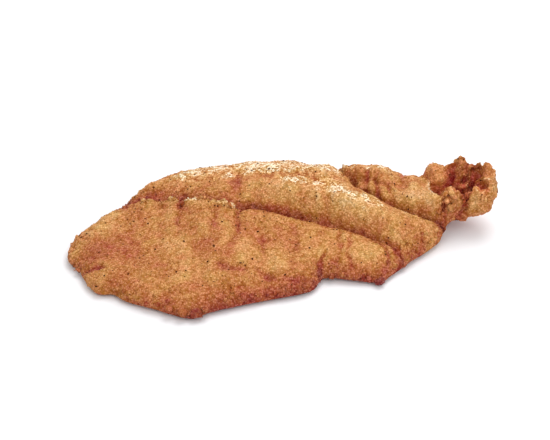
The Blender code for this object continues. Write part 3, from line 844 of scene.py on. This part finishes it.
# Paling by the mask of thick flour and painted highlight, granule by granule
paled_by_flour_and_highlight = add(tree, "Math", PRODUCT, {0: source["flour"], 1: effect["flour"]}).outputs[0]
browned_and_shaded = add(tree, "Math", SUM, {0: source["browning_and_shade"], 1: effect["specks"]}).outputs[0]
browned_and_shaded = add(tree, "Math", SUM, {0: browned_and_shaded, 1: paled_by_flour_and_highlight}).outputs[0]
scale = add(tree, "ValToRGB", {}, {"Fac": browned_and_shaded})
stops = scale.color_ramp.elements
while len(stops) < len(BROWNING_SCALE):
    stops.new(0.5)
for stop, (position, hex_colour) in zip(stops, BROWNING_SCALE):
    stop.position, stop.color = position, linear(hex_colour)

# Each granule's own lightness, times painted shade in the crevices between granules
light = add(tree, "Math", PRODUCT, {0: effect["light"], 1: effect["painted_crevice_shade"]}).outputs[0]
value = add(tree, "MapRange", dict(zip(LIMITS, (0.0, 1.0, 0.64, 1.16))), {"Value": light}).outputs["Result"]
value = add(tree, "Math", SUM, {0: value, 1: effect["soaked_value"]}).outputs[0]
hue = add(tree, "Math", SUM, {0: effect["hue"], 1: effect["soaked_hue"]}).outputs[0]
shaded = add(tree, "HueSaturation", {}, {"Color": scale.outputs["Color"], "Hue": hue, "Value": value})
# Lighter granules whiter, and the painted shade of the crevices darker
whitened = add(tree, "Mix", {"data_type": "RGBA", "blend_type": "LINEAR_LIGHT", "clamp_result": True, 0: WHITENING},
               {6: shaded.outputs["Color"], 7: light})
fine = add(tree, "Bump", {"Strength": 0.9, "Distance": 0.25 * MM}, {"Height": source["dust"]})
coarse = add(tree, "Bump", {"Strength": 1.0, "Distance": 0.4 * MM},
             {"Height": effect["rounded"], "Normal": fine.outputs["Normal"]})
for key, output in (("Base Color", whitened.outputs[2]), ("Roughness", effect["roughness"]),
                    ("Normal", coarse.outputs["Normal"])):
    tree.links.new(output, shader.inputs[key])
skin_piece.data.materials.append(crust_look)
print("nodes in the crust material:", len(tree.nodes))

# %% [markdown]
# ## Crumbs on the crust
#
# Loose flour and batter set on the crust as small separate bodies: beads along the thin edges, grains all
# over, and ground pepper. Modelled at true size, they catch light and throw shadows that a flat pattern
# can't. Each kind is one mesh of many copies of one small template, because a copy needs only a place, a
# size and a turn. The places are drawn at random over the skin by area, more often where that kind gathers.

# %% A template, places to put it, and copies
LENGTHWISE, ROUND_RIB, ACROSS = (part.reshape(-1, 3) for part in directions(crust))
SURFACE = crust.reshape(-1, 3)
UPWARD = unit(ACROSS)


def template(rings, around):
    """A unit ball: rings of points between two poles, and its faces."""
    polar = np.pi * np.arange(1, rings + 1)[:, None] / (rings + 1)
    turn = 2 * np.pi * np.arange(around)[None, :] / around
    ball = np.stack(np.broadcast_arrays(np.sin(polar) * np.cos(turn), np.sin(polar) * np.sin(turn), np.cos(polar)), 2)
    quads = grid_faces(rings, around)
    triangles = np.vstack([quads[:, [0, 1, 2]], quads[:, [0, 2, 3]], end_fans(rings, around)])
    return np.vstack([ball.reshape(-1, 3), [[0, 0, 1], [0, 0, -1]]]), triangles


def scatter(count, weight, seed):
    """Draws grid points by the area round them times a weight, and a spot near each."""
    chance = np.linalg.norm(ACROSS, axis=1) * weight
    generator = np.random.default_rng(seed)
    chosen = generator.choice(len(chance), count, p=chance / chance.sum())
    shift = generator.uniform(-0.5, 0.5, (2, count, 1))
    return chosen, SURFACE[chosen] + shift[0] * LENGTHWISE[chosen] + shift[1] * ROUND_RIB[chosen]


def random_sizes(count, size, least, most):
    """Radii between two sizes, small ones more often, times a random stretch along each of three axes."""
    radius = size[0] + (size[1] - size[0]) * generator.uniform(0, 1, count) ** 2
    return radius[:, None] * generator.uniform(least, most, (count, 3))


def copies(name, shape, chosen, spots, sizes, bumps, own_masks, seed):
    """One piece: the template at each spot, scaled along two tangents and the normal, and made uneven."""
    ball, triangles = shape
    generator = np.random.default_rng(seed)
    up = UPWARD[chosen]
    side = unit(np.cross(up, generator.normal(size=up.shape)))
    frame_of_each = np.stack([side, np.cross(up, side), up], axis=1) * sizes[:, :, None]
    noise_place = (ball[None] * 1.5 + generator.uniform(0, 90, (len(chosen), 1, 3))).reshape(-1, 3)
    uneven = 1 + bumps * smooth_noise(noise_place, 1.0, seed).reshape(len(chosen), len(ball), 1)
    points = spots[:, None] + np.einsum("npk,nkc->npc", ball[None] * uneven, frame_of_each)
    points[:, :, 2] = np.maximum(points[:, :, 2], low[2] / MM)
    faces = triangles[None] + len(ball) * np.arange(len(chosen))[:, None, None]
    values = {key: np.repeat(own_masks.get(key, mask[chosen]), len(ball)) for key, mask in skin_masks.items()}
    piece = new_piece(name, points.reshape(-1, 3), faces.reshape(-1, 3).tolist(), values)
    print(name, "copies:", len(chosen), "triangles:", len(piece.data.polygons))
    return piece


# %% Beads along the edges
BEADS, BEAD_SIZE = 420, (0.6, 1.9)
# Lumps at places of their own: x, y, z, radius, and browning from 0 to 1
LUMPS = [
    (38.5, -48.0, 3.0, 2.4, 1.0), (36.5, -46.5, 2.5, 1.6, 0.7), (-64, -54.5, 4.5, 3.0, 0.1),
    (-58, -56.5, 4.0, 3.0, 0.2), (-52.5, -55.5, 5, 2.2, 0), (-70, -51, 5, 2.0, 0), (24, -41, 3, 1.2, -0.2),
    (33, -44.5, 3, 1.4, 0.1), (86.5, -9, 26, 1.8, 0), (83.5, -8.5, 25, 1.6, 0), (89.3, -10.5, 24, 1.5, 0.2),
    (82.5, -12.5, 22, 1.6, 0), (85.5, -13.5, 19, 1.8, 0.1), (88.5, -12.5, 20, 1.5, 0.3)]

generator = np.random.default_rng(5)
on_lip = bell(seam + 0.4) * (1 - step(flat_x, *PALE_LIP_FADE)) * step(flat_x, -90, -50)
on_edge = rim ** 3 * (place[:, 2] > 2.5) * (place[:, 2] < 16) + 9 * on_lip + 0.5 * tail * rim ** 2
chosen, spots = scatter(BEADS, UPPER_SIDE * on_edge, 6)
lumps = np.array(LUMPS)
nearest_to = ((SURFACE[None] - lumps[:, None, :3]) ** 2).sum(axis=2).argmin(axis=1)
outward = lumps[:, :3] - SURFACE[nearest_to]
outward *= np.minimum(1, 0.5 * lumps[:, 3:4] / np.maximum(np.linalg.norm(outward, axis=1, keepdims=True), 1e-6))
radius = generator.uniform(*BEAD_SIZE, BEADS) * generator.uniform(0.6, 1, BEADS)
radius = radius * (1 - 0.15 * on_lip[chosen]) * (0.6 + 0.4 * ease((SURFACE[chosen, 0] + 100) / 30))
radius = np.concatenate([radius, lumps[:, 3]])
chosen, spots = np.concatenate([chosen, nearest_to]), np.vstack([spots, SURFACE[nearest_to] + outward])
sizes = radius[:, None] * generator.uniform([0.7, 0.7, 0.5], [1.4, 1.4, 0.85], (len(radius), 3))
# Beads and lumps take the browning, painted shade and painted highlight of the skin under them, with random changes
darker = np.concatenate([generator.uniform(-0.12, 0.15, BEADS), 0.5 * lumps[:, 4] - 0.02])
own = {"browning_and_shade": np.clip(browning_and_shade[chosen] + darker, 0, 1), "height": generator.uniform(0.35, 0.9, len(radius)),
       "flour": 0.55 * pale[chosen]}
beads_piece = copies("crust_beads", template(3, 7), chosen, spots, sizes, 0.4, own, 7)
beads_piece.data.materials.append(crust_look)

# %% Grains of flour
GRAINS, GRAIN_SIZE = 8500, (0.22, 0.5)

chosen, spots = scatter(GRAINS, UPPER_SIDE * (0.5 + 0.8 * patchy + 0.8 * rough), 8)
sizes = random_sizes(GRAINS, GRAIN_SIZE, [0.8, 0.8, 0.5], [1.3, 1.3, 0.9])
# Grains take the browning and painted shade of the skin under them, with random changes
own = {"browning_and_shade": np.clip(browning_and_shade[chosen] + generator.uniform(-0.12, 0.06, GRAINS), 0, 1),
       "height": generator.uniform(0, 1, GRAINS)}
grains_piece = copies("flour_grains", template(2, 5), chosen, spots, sizes, 0.25, own, 9)
grains_piece.data.materials.append(crust_look)

# %% [markdown]
# ## Ground pepper
#
# The flour was seasoned with coarsely ground black pepper, which shows as dark flat flakes of about a
# millimetre. They stay nearly black where the crust browns, so they need a material of their own: the husk
# of the corn is very dark brown, and where a flake broke, its inside is lighter.

# %% Pepper
FLECKS, FLECK_SIZE, BROKEN_MM = 380, (0.35, 0.8), 1.5
HUSK, INSIDE = "#40200F", "#7A4222"

chosen, spots = scatter(FLECKS, UPPER_SIDE * (0.3 + patchy), 10)
sizes = random_sizes(FLECKS, FLECK_SIZE, [0.8, 0.6, 0.3], [1.2, 1.0, 0.5])
pepper_piece = copies("pepper_flecks", template(2, 6), chosen, spots, sizes, 0.4, {}, 11)
pepper_look, tree, shader = new_material("ground_black_pepper", {"Roughness": 0.8, "Specular IOR Level": 0.05})
where = {"Vector": add(tree, "TexCoord").outputs["Object"]}
broken = add(tree, "TexNoise", {"Scale": 1 / (BROKEN_MM * MM), "Detail": 2.0}, where).outputs["Fac"]
share = add(tree, "MapRange", {"From Min": 0.5, "From Max": 0.65}, {"Value": broken}).outputs["Result"]
colour = add(tree, "Mix", {"data_type": "RGBA", 6: linear(HUSK), 7: linear(INSIDE)}, {0: share}).outputs[2]
tree.links.new(colour, shader.inputs["Base Color"])
pepper_piece.data.materials.append(pepper_look)

# %% [markdown]
# ## Table, light and camera
#
# A pale table carries the shadow. White surroundings give most of the light, evenly. One wide light above
# and behind the fillet adds the pale tops and soft shade that a window gives, and a weaker one in front keeps
# the folds readable. The camera looks down at 33 degrees through a long lens, which keeps perspective weak.

# %% Table
table_mesh = bpy.data.meshes.new("table")
half = 2.0
table_mesh.from_pydata([(-half, -half, 0), (half, -half, 0), (half, half, 0), (-half, half, 0)], [], [(0, 1, 2, 3)])
table = bpy.data.objects.new("table", table_mesh)
COLLECTION.objects.link(table)
table_mesh.materials.append(new_material("pale_matt_laminate", {"Base Color": linear("#E4E4E6"), "Roughness": 0.6})[0])
print("table:", 2 * half, "m across")

# %% Lights and world
def area_light(name, place, aim, size, power, colour="#FFFFFF"):
    """A square soft light at a place, facing a point."""
    data = bpy.data.lights.new(name, "AREA")
    data.size, data.energy, data.color = size, power, linear(colour)[:3]
    lamp = bpy.data.objects.new(name, data)
    lamp.location = place
    lamp.rotation_euler = (Vector(aim) - Vector(place)).to_track_quat("-Z", "Y").to_euler()
    COLLECTION.objects.link(lamp)
    print(name, "watts:", power)


area_light("window_behind", (0.35, 0.45, 0.95), (0, 0, 0), 0.7, 6.2)
area_light("fill_in_front", (0.35, -0.95, 0.9), (0, 0, 0), 0.9, 4.8)
world = bpy.data.worlds.new("studio")
world.use_nodes = True
for key, value in (("Color", linear("#FFFFFF")), ("Strength", 0.97)):
    world.node_tree.nodes["Background"].inputs[key].default_value = value
bpy.context.scene.world = world
bpy.context.scene.view_settings.view_transform = "Standard"

# %% Camera
AZIMUTH, ELEVATION = np.radians((-12.0, 33.0))
DISTANCE, AIM = 0.9, Vector((-0.001, 0.024, 0.0))
away = Vector((np.sin(AZIMUTH) * np.cos(ELEVATION), -np.cos(AZIMUTH) * np.cos(ELEVATION), np.sin(ELEVATION)))
camera_data = bpy.data.cameras.new("camera")
camera_data.lens, camera_data.sensor_width = 110.0, 36.0
camera = bpy.data.objects.new("camera", camera_data)
camera.location = AIM + DISTANCE * away
camera.rotation_euler = (-away).to_track_quat("-Z", "Y").to_euler()
COLLECTION.objects.link(camera)
bpy.context.scene.camera = camera
print("camera at", [round(value, 3) for value in camera.location])
